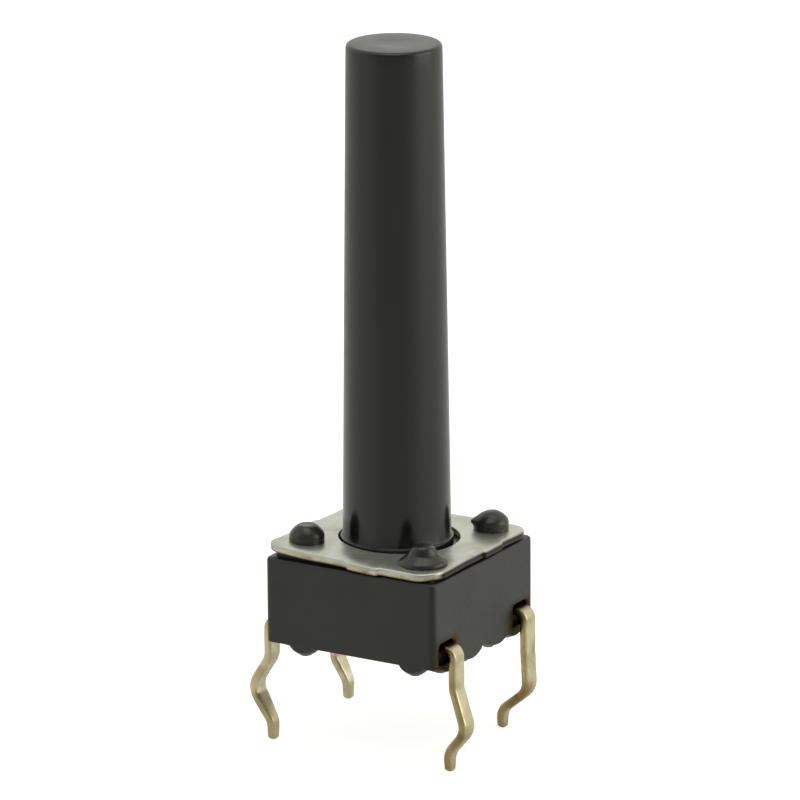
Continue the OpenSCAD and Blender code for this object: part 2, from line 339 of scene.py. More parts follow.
# %% Handling
handling_group, given, result = new_group(
    "handling", "ShaderNodeTree", {"Vector": "Vector", "Size": 2.0, "Amount": 0.5}, {"Mask": "Float"})
per_metre = calculate("DIVIDE", 1 / MM, given["Size"])
film = clouds(given["Vector"], per_metre, 5, Roughness=0.55, Distortion=0.6)["Fac"]
feed(result["Mask"], times(spread(film, 0.0, 1.0, 0.42, 0.68), given["Amount"]))

# %% Scuffs
scuff_group, given, result = new_group(
    "scuffs", "ShaderNodeTree", {"Vector": "Vector", "Size": 0.8, "Turn": 0.4}, {"Mask": "Float"})
turned = put(scuff_group, "ShaderNodeVectorRotate", {
    "Vector": given["Vector"], "Angle": given["Turn"], "Axis": (0.3, 0.2, 0.93)},
    rotation_type="AXIS_ANGLE").outputs[0]
per_metre = calculate("DIVIDE", 1 / MM, given["Size"])
thinner = (1, 14, 1)
lines = clouds(vector("MULTIPLY", turned, thinner), per_metre, 2)["Fac"]
where = clouds(given["Vector"], times(per_metre, 1.3), 1)["Fac"]
feed(result["Mask"], times(spread(lines, 0.0, 1.0, 0.66, 0.72), spread(where, 0.0, 1.0, 0.52, 0.6)))
print("groups:", [g.name for g in bpy.data.node_groups])


# %% [markdown]
# ## Finishes
# Each finish starts from the same line: a new material, its Principled shader, the object's
# own coordinates and its fine grain. Colours are what the material itself is, apart from some
# painted shade at the base's notches, under the cover's edge and where the strips leave the
# base; the light does the rest. The plain colour and roughness in that line stand in where
# nodes can't be shown.

# %% Helpers: start a finish, place a group, mix colours, wire the shader
def use_group(group, place, **inputs):
    return put(place.id_data, "ShaderNodeGroup", {"Vector": place, **inputs}, node_tree=group).outputs


def new_finish(name, base_color, roughness, metallic=0.0, **grain_sizes):
    material = bpy.data.materials.new(name)
    material.use_nodes = True
    tree = material.node_tree
    tree.nodes.clear()
    shader = put(tree, "ShaderNodeBsdfPrincipled", {
        "Base Color": (*base_color, 1), "Roughness": roughness, "Metallic": metallic, "IOR": 1.5})
    put(tree, "ShaderNodeOutputMaterial", {"Surface": shader.outputs[0]})
    place = put(tree, "ShaderNodeTexCoord").outputs["Object"]
    return material, shader, place, use_group(grain_group, place, **grain_sizes)


def stored(place, name):
    """A number that the mesh carries on every point."""
    return put(place.id_data, "ShaderNodeAttribute", attribute_name=name).outputs["Fac"]


def blend_colors(mask, first, second, mode="MIX"):
    """The first colour where the mask is 0, the second where it is 1."""
    mix = put(mask.id_data, "ShaderNodeMix", {0: mask}, data_type="RGBA", blend_type=mode)
    for socket, color in ((mix.inputs[6], first), (mix.inputs[7], second)):
        feed(socket, (*color, 1) if isinstance(color, tuple) else color)
    return mix.outputs[2]


def rough_grain(grain, low, high):
    """Roughness that follows the grain, from low in its hollows to high on its tops."""
    return spread(grain["Height"], low, high, 0.3, 0.7)


def coat(shader, color, roughness, grain=None, depth=0.0):
    """Wires colour and roughness, and the grain as a relief that is so many metres deep."""
    feed(shader.inputs["Base Color"], color)
    feed(shader.inputs["Roughness"], roughness)
    if grain is not None:
        relief = put(shader.id_data, "ShaderNodeBump", {"Height": grain["Height"], "Distance": depth})
        feed(shader.inputs["Normal"], relief.outputs[0])


# %% [markdown]
# The base is moulded in a black glass-filled plastic. It is nearly black in itself; what makes
# it look grey is the tent mirrored in a fine matt grain, more and more as we look along a face.
# Flux that burnt on has crept up the legs: it lies in the notches and for a hair's breadth round
# them, brown and dull. The same dark brown also stands for the shade in the notches and round
# their edges, so it is partly a stain and partly painted shade.

# %% Finish: base moulding
leg_y = 2.25 * MM
flux_and_shade_brown = (0.05, 0.030, 0.011)

base_finish, shader, place, grain = new_finish(
    "black_moulding", (0.012, 0.0125, 0.011), 0.4, Size=0.14)
film = use_group(handling_group, place, Size=1.6, Amount=1.0)
moulded_black = blend_colors(grain["Patches"], (0.007, 0.0076, 0.0064), (0.017, 0.0178, 0.0152))
from_leg = calculate("ABSOLUTE", minus(calculate("ABSOLUTE", axis(place, "Y")), leg_y))
beside_leg = spread(from_leg, 1.0, 0.0, *mm(0.50, 0.80))
below_top = spread(axis(place, "Z"), 1.0, 0.0, *mm(1.12, 1.34))
out_far = spread(calculate("ABSOLUTE", axis(place, "X")), 0.0, 1.0, *mm(2.6, 2.7))
# Flux stain and painted shade: the notches and a narrow band round them are painted dark brown
flux_and_notch_shade = times(beside_leg, below_top, out_far)
feed(shader.inputs["Metallic"], times(flux_and_notch_shade, 0.9))
rough = plus(rough_grain(grain, 0.34, 0.42), times(film["Mask"], 0.04))
coat(shader, blend_colors(flux_and_notch_shade, moulded_black, flux_and_shade_brown), rough, grain, 0.002 * MM)

# %% [markdown]
# The heads of the posts are the same plastic, but they were melted and pressed flat. The skin
# that this leaves is smoother and a little brown.

# %% Finish: staked heads
head_finish, shader, place, grain = new_finish(
    "melted_plastic", (0.014, 0.013, 0.011), 0.3, Size=0.16)
melted_black = blend_colors(grain["Patches"], (0.010, 0.010, 0.008), (0.026, 0.025, 0.019))
coat(shader, melted_black, rough_grain(grain, 0.22, 0.32), grain, 0.004 * MM)

# %% [markdown]
# The plunger comes out of a polished mould. Its side is smooth enough to mirror the posts and
# the cover near its foot, and finger grease leaves it a little duller towards the tip.

# %% Finish: plunger
plunger_finish, shader, place, grain = new_finish(
    "black_gloss_moulding", (0.009, 0.0095, 0.008), 0.24, Size=0.35)
film = use_group(handling_group, place, Size=3.0, Amount=1.0)
duller = spread(axis(place, "Z"), 0.0, 0.1, *mm(5.0, 12.0))
rough = plus(rough_grain(grain, 0.16, 0.21), duller, times(film["Mask"], 0.05))
polished_black = blend_colors(grain["Patches"], (0.004, 0.0044, 0.0036), (0.010, 0.0106, 0.009))
coat(shader, polished_black, rough, grain, 0.002 * MM)

# %% [markdown]
# The cover is punched from plated steel strip. Its top is satin, with soft stains where the
# posts were melted, and its sheared edge shows a warmer metal with some rust. Painted shade
# darkens the foot of the edge, where the plate meets the base, and on the right the whole edge
# is painted nearly black as shade. The plate is made with a number on every point, *through*,
# that says how far up its thickness the point lies.

# %% Finish: cover plate
cover_finish, shader, place, grain = new_finish(
    "plated_steel", (0.62, 0.62, 0.58), 0.3, metallic=0.78, Size=0.25, Stretch=(1, 0.25, 1))
film = use_group(handling_group, place, Size=1.1, Amount=1.0)
rust = use_group(handling_group, place, Size=0.45, Amount=0.9)
scuffs = use_group(scuff_group, place, Size=0.9, Turn=0.5)
through = stored(place, "through")
on_right = spread(axis(place, "X"), 0.0, 1.0, *mm(2.9, 3.0))
# On the right the edge colour reaches further up, which widens the painted dark band there
edge_top = minus(through, times(on_right, 0.05 * MM))
edge_mask = spread(edge_top, 1.0, 0.0, *mm(0.10, 0.17))
top_color = blend_colors(film["Mask"], (0.58, 0.59, 0.545), (0.42, 0.415, 0.345))
clean_edge = blend_colors(rust["Mask"], (0.60, 0.575, 0.44), (0.30, 0.22, 0.13))
# Painted shade: on the right the whole sheared edge is painted nearly black instead of its metal
edge_rust_and_right_shade = blend_colors(on_right, clean_edge, (0.02, 0.013, 0.007))
metal_color = blend_colors(edge_mask, top_color, edge_rust_and_right_shade)
# Painted shade along the foot of the edge, where the plate meets the base, darkest on the right
shaded_seat = spread(through, 1.0, 0.0, *mm(0.01, 0.07))
seat_shade_color = blend_colors(on_right, (0.07, 0.045, 0.025), (0.012, 0.008, 0.004))
rough = plus(rough_grain(grain, 0.28, 0.36), times(scuffs["Mask"], 0.06))
coat(shader, blend_colors(shaded_seat, metal_color, seat_shade_color), rough, grain, 0.003 * MM)

# %% [markdown]
# The strips are brass with a thin coat of tin. The strip is plated before it is cut, so its two
# sheared sides are bare brass, darker and browner than its faces. The left legs took more tin
# than the others, above all the back one. Flux and heat have left brown stains under each kink
# and at the tips. Where a leg leaves the base, in its notch, the strip is painted dark brown:
# partly the same stain, partly painted shade. From there some stain has run down the sheared
# sides. The kink of the back right leg is burnt. The strips are made with two numbers on every
# point, *sheared* and *from_end*, and the finish reads them as attributes.

# %% Finish: contact strips
burn_place = (3.44 * MM, 2.0 * MM, -1.84 * MM)

strip_finish, shader, place, grain = new_finish(
    "tinned_brass", (0.60, 0.53, 0.34), 0.3, metallic=1.0, Size=0.12, Stretch=(1, 1, 0.4))
film = use_group(handling_group, place, Size=0.8, Amount=1.0)
scuffs = use_group(scuff_group, place, Size=0.5, Turn=1.4)
sheared = stored(place, "sheared")
end_mm = calculate("DIVIDE", stored(place, "from_end"), MM)
at_x, at_y, at_z = [axis(place, name) for name in "XYZ"]

plated = blend_colors(grain["Patches"], (0.60, 0.53, 0.33), (0.70, 0.63, 0.44))
bare = blend_colors(grain["Patches"], (0.42, 0.32, 0.15), (0.57, 0.46, 0.245))
thicker_tin = times(spread(at_x, 1.0, 0.0, *mm(-3.15, -2.95)), spread(at_y, 0.25, 0.85, *mm(-1.0, 1.0)))
metal = blend_colors(thicker_tin, blend_colors(sheared, plated, bare), (0.93, 0.885, 0.70))
metal = blend_colors(spread(end_mm, 0.8, 0.0, 1.2, 1.8), metal, (0.80, 0.76, 0.70), mode="MULTIPLY")

# %% Stains on the strips
tip_stain = spread(end_mm, 0.0, 0.4, 0.5, 0.05)
under_kink = spread(end_mm, 0.0, 1.0, 0.7, 1.1, smooth=True)
not_above_kink = spread(end_mm, 1.0, 0.0, 1.45, 1.75, smooth=True)
kink_stain = times(under_kink, not_above_kink, 0.85)
patchy = spread(film["Mask"], 0.35, 1.0)
stain = times(calculate("MAXIMUM", tip_stain, kink_stain), patchy)
stain = calculate("MAXIMUM", stain, times(film["Mask"], 0.45), clamp=True)
near_block = spread(calculate("ABSOLUTE", at_x), 1.0, 0.0, *mm(3.12, 3.28))
# Stain and painted shade: the strip is painted dark brown where it leaves the base, in its notch
root_flux_and_shade = times(near_block, spread(at_z, 0.0, 1.0, *mm(0.45, 0.65)))
burn_gap = vector("DISTANCE", place, burn_place)
burn = times(spread(burn_gap, 0.95, 0.0, *mm(0.18, 0.55)), spread(grain["Patches"], 0.6, 1.0))
run_down = times(near_block, spread(at_z, 0.0, 0.55, *mm(-0.5, 0.5)), sheared)

color = metal
for mask, stain_color in (
        (stain, (0.17, 0.125, 0.04)), (root_flux_and_shade, (0.06, 0.038, 0.016)), (burn, (0.26, 0.135, 0.05)),
        (run_down, (0.22, 0.13, 0.055)), (times(scuffs["Mask"], 0.5), (0.74, 0.68, 0.48))):
    color = blend_colors(mask, color, stain_color)
coat(shader, color, plus(rough_grain(grain, 0.24, 0.34), times(stain, 0.14)), grain, 0.003 * MM)

# %% [markdown]
# The snap dome is thin spring steel, rolled bright.

# %% Finish: snap dome
dome_finish, shader, place, grain = new_finish(
    "spring_steel", (0.6, 0.6, 0.6), 0.2, metallic=1.0, Size=0.3, Stretch=(1, 0.1, 1))
rolled_steel = blend_colors(grain["Patches"], (0.52, 0.52, 0.52), (0.66, 0.66, 0.65))
coat(shader, rolled_steel, rough_grain(grain, 0.16, 0.28))
print("finishes:", [m.name for m in bpy.data.materials])


# %% [markdown]
# ## From outlines to solid pieces
# Most pieces here are turned, pressed or punched, so a few helpers make them all. A *ring* is a
# closed loop of points. *Skin* joins rings of the same length into a wall. *Finish piece* gives
# the mesh smooth shading up to a crease angle and hands it to the frame.

# %% Helpers: meshes
CREASE = math.radians(32)


def skin(bm, rings, closed=True):
    """Joins rings of equal length into one wall, and closes its ends."""
    loops = [[bm.verts.new(p) for p in ring] for ring in rings]
    for lower, upper in zip(loops, loops[1:]):
        for i in range(len(lower)):
            j = (i + 1) % len(lower)
            bm.faces.new((lower[i], lower[j], upper[j], upper[i]))
    if closed:
        bm.faces.new(list(reversed(loops[0])))
        bm.faces.new(loops[-1])


def to_object(bm, name):
    bmesh.ops.remove_doubles(bm, verts=bm.verts, dist=0.0005 * MM)
    bmesh.ops.recalc_face_normals(bm, faces=bm.faces)
    mesh = bpy.data.meshes.new(name)
    bm.to_mesh(mesh)
    bm.free()
    return add_object(name, mesh)


def freeze(obj, name):
    """A plain mesh of the object as its modifiers leave it. The object itself goes."""
    graph = bpy.context.evaluated_depsgraph_get()
    mesh = bpy.data.meshes.new_from_object(obj.evaluated_get(graph), depsgraph=graph)
    bpy.data.objects.remove(obj)
    mesh.name = name
    return add_object(name, mesh)


def finish_piece(obj, finish, body, slot, *nodes):
    """Smooth shading, the finish, and the piece's place in the frame."""
    mesh = obj.data
    mesh.materials.clear()
    mesh.materials.append(finish)
    for polygon in mesh.polygons:
        polygon.material_index = 0
    mesh.shade_smooth()
    mesh.set_sharp_from_angle(angle=CREASE)
    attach(obj, body)
    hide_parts(*nodes)
    triangles = sum(len(p.vertices) - 2 for p in mesh.polygons)
    print(obj.name, "rides on", body, "-", triangles, "triangles")


# %% [markdown]
# ## Base moulding
# The real base is one moulding. Its upright corners and its lower edge are rounded, because a
# sharp edge doesn't fill or leave the mould well. The cover doesn't lie flat on it all round,
# so a dark slot runs under the cover. We stack rounded squares into a block with those edges
# and that slot.

# %% Block
corner_r, edge_r = mm(0.2, 0.04)
slot_h, slot_depth, slot_edge_r = mm(0.12, 0.25, 0.1)
underside_z = board_z + 0.35 * MM


def arc(x, y, radius, start, end, steps):
    """Points along an arc, both ends included. The angles are in degrees."""
    turns = [math.radians(start + (end - start) * i / steps) for i in range(steps + 1)]
    return [(x + radius * math.cos(a), y + radius * math.sin(a)) for a in turns]


def rounded_square(half, radius, z):
    ring = []
    for (sx, sy), start in zip(CORNERS, (180, 270, 0, 90)):
        ring += arc(sx * (half - radius), sy * (half - radius), radius, start, start + 90, 8)
    return [(x, y, z) for x, y in ring]


def quarter(radius, steps):
    """Insets and heights round a quarter circle, from the flat to the wall."""
    turns = [math.radians(90 * i / steps) for i in range(steps + 1)]
    return [(radius * (1 - math.sin(t)), radius * (1 - math.cos(t))) for t in turns]


slot_z = cover_z - slot_h
levels = [(inset, underside_z + up) for inset, up in quarter(edge_r, 5)]
levels += [(inset, slot_z - down) for inset, down in reversed(quarter(slot_edge_r, 3))]
rings = [rounded_square(half_body - inset, corner_r - inset * 0.9, z) for inset, z in levels]
rings += [rounded_square(half_body - slot_depth, corner_r / 2, z) for z in (slot_z, cover_z)]
bm = bmesh.new()
skin(bm, rings)
block = to_object(bm, "base_block")
print("block:", len(block.data.polygons), "faces")

# %% [markdown]
# The openings are cut with exact booleans: the well for the dome, the notch that each leg
# leaves through, and the holes of the pins that held the strips in the mould.

# %% Openings
well_r = 2.3 * MM
notch_w, notch_depth, notch_r, notch_lip = mm(0.92, 0.3, 0.16, 0.05)
notch_top_z = contact_z + 0.1 * MM
pin_hole_r, pin_hole_lip = mm(0.35, 0.04)
pin_hole_end_z = contact_z - 0.2 * MM
arm_x = 1.9 * MM
mid_shift = 0.12 * MM


def circle(x, y, radius, steps):
    return arc(x, y, radius, 0, 360, steps)[:-1]


def disc_ring(x, y, radius, z, steps):
    return [(px, py, z) for px, py in circle(x, y, radius, steps)]


def notch_ring(side, y, x, grow):
    """The notch seen from the side at depth x: open below, with two round upper corners."""
    half, top = notch_w / 2 + grow, notch_top_z + grow
    ring = [(y - half, board_z - MM), (y + half, board_z - MM)]
    for centre, start in ((half - notch_r, 0), (notch_r - half, 90)):
        ring += arc(y + centre, top - notch_r, notch_r, start, start + 90, 6)
    return [(side * x, py, z) for py, z in ring]


cutters = bmesh.new()
skin(cutters, [disc_ring(0, 0, well_r, z, 128) for z in (contact_z, cover_z + MM)])
pin_hole = [(pin_hole_r + pin_hole_lip, board_z), (pin_hole_r + pin_hole_lip, underside_z),
            (pin_hole_r, underside_z + pin_hole_lip), (pin_hole_r, pin_hole_end_z)]
for side in (-1, 0, 1):
    skin(cutters, [disc_ring(side * arm_x, side * mid_shift, r, z, 40) for r, z in pin_hole])
notch = [(-notch_depth, 0), (-notch_lip, 0), (0, notch_lip), (4 * notch_lip, 5 * notch_lip)]
for side in (-1, 1):
    for y in (-leg_y, leg_y):
        skin(cutters, [notch_ring(side, y, half_body + out, grow) for out, grow in notch])
cutter = to_object(cutters, "openings")
cut = block.modifiers.new("openings", "BOOLEAN")
cut.operation = "DIFFERENCE"
cut.solver = "EXACT"
cut.use_self = True
cut.object = cutter
base_block = freeze(block, "base_block")
bpy.data.objects.remove(cutter)
finish_piece(base_block, base_finish, "housing", "base_plastic", "base")
weigh = base_block.modifiers.new("flat_faces", "WEIGHTED_NORMAL")
weigh.keep_sharp = True

# %% [markdown]
# ## Helpers for Geometry Nodes
# The feet, the heads and the strips repeat or follow a path, so Geometry Nodes make them. *Run
# tree* puts a tree on an object, sets its inputs by their identifiers before anything is
# evaluated, and freezes the result to a plain mesh. The others add the few kinds of node that
# both trees use.

# %% Helpers: run a tree, nodes that both trees use
def run_tree(obj, tree, name, values):
    modifier = obj.modifiers.new(tree.name, "NODES")
    modifier.node_group = tree
    for item in tree.interface.items_tree:
        if item.in_out == "INPUT" and item.name in values:
            modifier[item.identifier] = values[item.name]
    return freeze(obj, name)


def attribute(tree, name, kind="FLOAT"):
    return put(tree, "GeometryNodeInputNamedAttribute", {"Name": name}, data_type=kind).outputs["Attribute"]


def store(shape, name, value, kind="FLOAT"):
    return put(shape.id_data, "GeometryNodeStoreNamedAttribute", {
        "Geometry": shape, "Name": name, "Value": value}, data_type=kind, domain="POINT").outputs[0]


def move(shape, **target):
    """Moves every point to a Position, or by an Offset."""
    return put(shape.id_data, "GeometryNodeSetPosition", {"Geometry": shape, **target}).outputs[0]


def combine(tree, **axes):
    return put(tree, "ShaderNodeCombineXYZ", axes).outputs[0]


def shake(value, amount):
    """Turns a noise colour into a step of at most about half an amount, in any direction."""
    return vector("SCALE", vector("SUBTRACT", value, (0.5, 0.5, 0.5)), amount)


def hand_out(shape, given, result):
    """Puts the finish on the shape and ends the tree with it."""
    coated = put(shape.id_data, "GeometryNodeSetMaterial", {"Geometry": shape, "Material": given["Finish"]})
    feed(result["Geometry"], coated.outputs[0])


# %% [markdown]
# ## Turned studs
# A foot and a staked head are the same kind of thing: a short round stud with a curved side and
# a flat end. One tree makes both. It sets a cylinder on every point and bends its side between a
# root and a flat. A *flare* of 1 is a quarter-round, and a larger one is closer to a cone. A
# *skirt* widens the root to a brim, and *squeeze* narrows the stud on two sides. Where *flash*
# is set, a thin point of squeezed-out plastic stands out on one side. Noise then shakes the
# surface, and because it is read at each stud's own place, no two come out alike.

# %% Tree: turned studs
studs, given, result = new_group("turned_studs", "GeometryNodeTree", {
    "Geometry": "Geometry", "Unevenness": 0.0, "Lump Size": 0.5 * MM, "Seed": 0.0,
    "Flash Towards": (1, 0, 0), "Side Limit": 1.0, "Finish": "Material"}, {"Geometry": "Geometry"})
here = put(studs, "GeometryNodeInputPosition").outputs[0]
blank = put(studs, "GeometryNodeMeshCylinder", {
    "Vertices": 56, "Side Segments": 24, "Fill Segments": 7, "Radius": 1.0, "Depth": 1.0},
    fill_type="TRIANGLE_FAN")
marked = store(blank.outputs["Mesh"], "own_place", here, "FLOAT_VECTOR")
copies = put(studs, "GeometryNodeInstanceOnPoints", {"Points": given["Geometry"], "Instance": marked})
real = put(studs, "GeometryNodeRealizeInstances", {0: copies.outputs[0]}).outputs[0]

own = attribute(studs, "own_place", "FLOAT_VECTOR")
root_d, flat_d, tall, flare, flash, skirt, squeeze = [
    attribute(studs, name) for name in ("root_d", "flat_d", "tall", "flare", "flash", "skirt", "squeeze")]

# %% Profile of a stud
ridge_turn, ridge_spread = 0.5, 0.35
flash_sharpness = 40.0

turn = times(plus(axis(own, "Z"), 0.5), math.pi / 2)
rise = times(calculate("SINE", turn), tall)
shrink = calculate("POWER", calculate("MAXIMUM", calculate("COSINE", turn), 0.0), flare)
even_r = plus(times(flat_d, 0.5), times(minus(root_d, flat_d), 0.5, shrink))
near_root = spread(calculate("SINE", turn), 1.0, 0.0, 0.05, 0.6, smooth=True)
facing_flash = calculate("MAXIMUM", vector("DOT_PRODUCT", own, given["Flash Towards"]), 0.0)
off_ridge = calculate("ABSOLUTE", minus(turn, ridge_turn))
flash_height = minus(1.0, calculate("DIVIDE", off_ridge, ridge_spread, clamp=True))
flash_out = times(calculate("POWER", facing_flash, flash_sharpness), flash_height, flash)
radius = plus(even_r, times(skirt, near_root), flash_out)

# %% Surface of the studs
fade_h = 0.12 * MM

level_place = combine(studs, X=axis(own, "X"), Y=axis(own, "Y"))
pressed_way = vector("CROSS_PRODUCT", given["Flash Towards"], (0, 0, 1))
pressed_part = vector("SCALE", vector("PROJECT", level_place, pressed_way), squeeze)
level_shape = vector("SCALE", vector("SUBTRACT", level_place, pressed_part), radius)
seat = vector("SUBTRACT", here, own)
shaped = move(real, Position=vector("ADD", seat, vector("ADD", level_shape, combine(studs, Z=rise))))

lumps = put(studs, "ShaderNodeTexNoise", {
    "Vector": here, "Scale": calculate("DIVIDE", 1.0, given["Lump Size"]), "W": given["Seed"],
    "Detail": 2.0}, noise_dimensions="4D").outputs["Color"]
above_root = calculate("MINIMUM", calculate("DIVIDE", calculate("ABSOLUTE", rise), fade_h), 1.0)
uneven = move(shaped, Offset=vector("SCALE", shake(lumps, given["Unevenness"]), above_root))

limit = given["Side Limit"]
inside_x, inside_y = [
    calculate("MAXIMUM", calculate("MINIMUM", axis(here, name), limit), times(limit, -1.0)) for name in "XY"]
flush = move(uneven, Position=combine(studs, X=inside_x, Y=inside_y, Z=axis(here, "Z")))
hand_out(flush, given, result)


# %% Helper: points for the studs
def stud_points(name, points, **columns):
    """Loose vertices that carry the sizes of their studs. A single number serves all of them."""
    mesh = bpy.data.meshes.new(name)
    mesh.from_pydata(points, [], [])
    for label, numbers in columns.items():
        numbers = numbers if isinstance(numbers, list) else [numbers] * len(points)
        mesh.attributes.new(label, "FLOAT", "POINT").data.foreach_set("value", numbers)
    return add_object(name, mesh)


# %% [markdown]
# ## Stand-off feet
# Twelve small feet keep the base clear of the board, so that solder and flux can be washed out.
# Two stand at the front, two at the back and four along each leg side. They are blunt cones that
# the mould cuts off flush with the base's sides, which gives the lower edge its waves. The front
# pair stands a little right of the middle, and the back pair a little left of it. All hang
# downwards, so their height is negative, and they start a little inside the base.

# %% Feet
end_foot_d, side_foot_d, mid_foot_d, foot_tip_d = mm(1.05, 1.35, 1.45, 0.32)
end_foot_x, side_foot_y, mid_foot_y = mm(1.96, 2.0, 0.8)
end_shift, foot_inset, foot_sunk, flush_gap = mm(0.15, 0.4, 0.05, 0.002)
foot_out = half_body - foot_inset
foot_z = underside_z + foot_sunk
foot_places = []
for sx, sy in CORNERS:
    foot_places.append((sx * end_foot_x - sy * end_shift, sy * foot_out, foot_z))
    foot_places.append((sx * foot_out, sy * side_foot_y, foot_z))
    foot_places.append((sx * foot_out, sy * mid_foot_y + sx * mid_shift, foot_z))
feet_points = stud_points(
    "feet", foot_places, root_d=[end_foot_d, side_foot_d, mid_foot_d] * 4, flat_d=foot_tip_d,
    tall=board_z - foot_z, flare=[2.2, 2.2, 3.0] * 4, flash=0, skirt=0, squeeze=0)
feet = run_tree(feet_points, studs, "standoff_feet", {
    "Unevenness": 0.03 * MM, "Lump Size": 0.5 * MM, "Seed": 3.0,
    "Side Limit": half_body - flush_gap, "Finish": base_finish})
finish_piece(feet, base_finish, "housing", "base_plastic", "base")

# %% [markdown]
# ## Staked heads
# After the cover is dropped over the four posts, a hot tool melts their ends into heads. Each
# head comes out a little different: wider where the tool stayed longer, with a flat or a
# dimple on top. The sizes run front left, front right, back right, back left.

# %% Heads
post_y = 2.075 * MM
head_points = stud_points(
    "heads", [(sx * post_y, sy * post_y, cover_top_z) for sx, sy in CORNERS],
    root_d=mm(1.26, 0.95, 1.26, 1.22), flat_d=mm(0.5, 0.36, 0.2, 0.45),
    tall=mm(0.6, 0.57, 0.56, 0.48), flare=[1.5, 0.8, 1.3, 1.1],
    flash=mm(0, 0, 0.1, 0), skirt=mm(-0.08, 0.28, -0.08, -0.05), squeeze=[0, 0.1, 0, 0])
heads = run_tree(head_points, studs, "staked_heads", {
    "Unevenness": 0.07 * MM, "Lump Size": 0.6 * MM, "Seed": 1.0, "Finish": head_finish,
    "Flash Towards": -level_right})
finish_piece(heads, head_finish, "housing", "base_plastic", "base")

# %% [markdown]
# ## Cover plate
# The cover is a punched square with round corners. The punch draws the upper edge over a little
# and leaves a small nib in the middle of each side, where the part was still held in its strip.
# We draw the outline once, repeat it at several insets for the rolled edge, and fill top and
# bottom with triangles on a fine grid, so that the plate can be made slightly wavy.

# %% Helper: fill an outline with an even mesh
# Points that are closer than this, in metres, count as one
SAME_PLACE = 1e-9


def inside(point, ring):
    """True where a point lies inside a closed ring, by the even-odd rule."""
    hit = False
    for (ax, ay), (bx, by) in zip(ring, ring[1:] + ring[:1]):
        if (ay > point[1]) != (by > point[1]):
            crossing = (bx - ax) * (point[1] - ay) / (by - ay) + ax
            hit = hit != (point[0] < crossing)
    return hit


def fill(bm, outline, holes, spacing, height):
    """Triangles inside an outline and outside its holes. Height gives z at a place."""
    border, edges = [], []
    for ring in [outline, *holes]:
        first = len(border)
        border += ring
        edges += [(first + i, first + (i + 1) % len(ring)) for i in range(len(ring))]

    def is_solid(point):
        return inside(point, outline) and not any(inside(point, hole) for hole in holes)

    steps = int(max(abs(v) for p in outline for v in p) / spacing)
    lines = [i * spacing for i in range(-steps, steps + 1)]
    grid = [(x, y) for x in lines for y in lines]
    clear = spacing * 0.6
    inner = [p for p in grid if min(math.dist(p, q) for q in border) > clear and is_solid(p)]
    points = [Vector(p) for p in border + inner]
    verts, _, faces, *_ = geometry.delaunay_2d_cdt(points, edges, [], 0, SAME_PLACE)
    made = [bm.verts.new((v.x, v.y, height(v.x, v.y))) for v in verts]
    for face in faces:
        if is_solid(sum((verts[i] for i in face), Vector((0, 0))) / len(face)):
            bm.faces.new([made[i] for i in face])


# %% Outline of the plate
plate_half = 3.02 * MM
# Corner radii of the front right, back right, back left and front left corner
plate_corner_rs = mm(0.75, 0.75, 0.6, 0.5)
nib_from, nib_to, nib_out, nib_ramp = mm(-0.05, 1.05, 0.08, 0.07)


def nib(along):
    """How far the nib stands out at a place along an edge."""
    rise = min((along - nib_from) / nib_ramp + 0.5, (nib_to - along) / nib_ramp + 0.5)
    rise = max(0.0, min(1.0, rise))
    return nib_out * rise * rise * (3 - 2 * rise)


def plate_ring(inset, pieces=60):
    """Each side is drawn as the front one, with the corner at its right, and turned into place."""
    ring = []
    for i, (c, s) in enumerate(((1, 0), (0, 1), (-1, 0), (0, -1))):
        radius = plate_corner_rs[i]
        start, end = plate_corner_rs[i - 1] - plate_half, plate_half - radius
        places = [start + (end - start) * piece / pieces for piece in range(pieces)]
        side = [(along, -(plate_half - inset + nib(along))) for along in places]
        side += arc(end, -end, radius - inset, -90, 0, 10)[:-1]
        ring += [(c * x - s * y, s * x + c * y) for x, y in side]
    return ring


print("outline has", len(plate_ring(0)), "points")

# %% [markdown]
# The stamped plate isn't quite flat: its front left corner is bent up, the other corners and
# the front and back edges droop a little, and all its edges are gently wavy. The same function
# moves every point of the plate, so its thickness stays.

# %% Plate
# How far the front left, front right, back right and back left corner are bent up
corner_lifts = mm(0.14, -0.05, -0.06, -0.03)
edge_droop, droop_width = mm(0.06, 0.4)
ripple_length, ripple_height = mm(1.3, 0.03)
hole_r, post_hole_r = mm(1.88, 0.42)
roll_r, hole_roll_r, low_r = mm(0.06, 0.04, 0.02)
plate_grid = 0.17 * MM


def plate_wave(x, y):
    """How far the plate is bent up or down at a place."""
    lift = 0.0
    for (sx, sy), corner_lift in zip(CORNERS, corner_lifts):
        share = (1 + sx * x / plate_half) * (1 + sy * y / plate_half) / 4
        lift += corner_lift * share ** 2
    droop = max(0.0, 1 - (plate_half - abs(y)) / droop_width) ** 2
    ripple = noise.noise(Vector((x, y, 0)) / ripple_length) * ripple_height
    return lift - edge_droop * droop + ripple * (abs(x) + abs(y)) / (2 * plate_half)


def rim(bm, ring_at, top_round):
    """The wall round an outline or a hole: rolled above, nearly square below."""
    levels = [(inset, cover_top_z - down) for inset, down in quarter(top_round, 4)]
    levels += [(inset, cover_z + up) for inset, up in reversed(quarter(low_r, 2))]
    rings = [[(x, y, z + plate_wave(x, y)) for x, y in ring_at(inset)] for inset, z in levels]
    skin(bm, rings, closed=False)


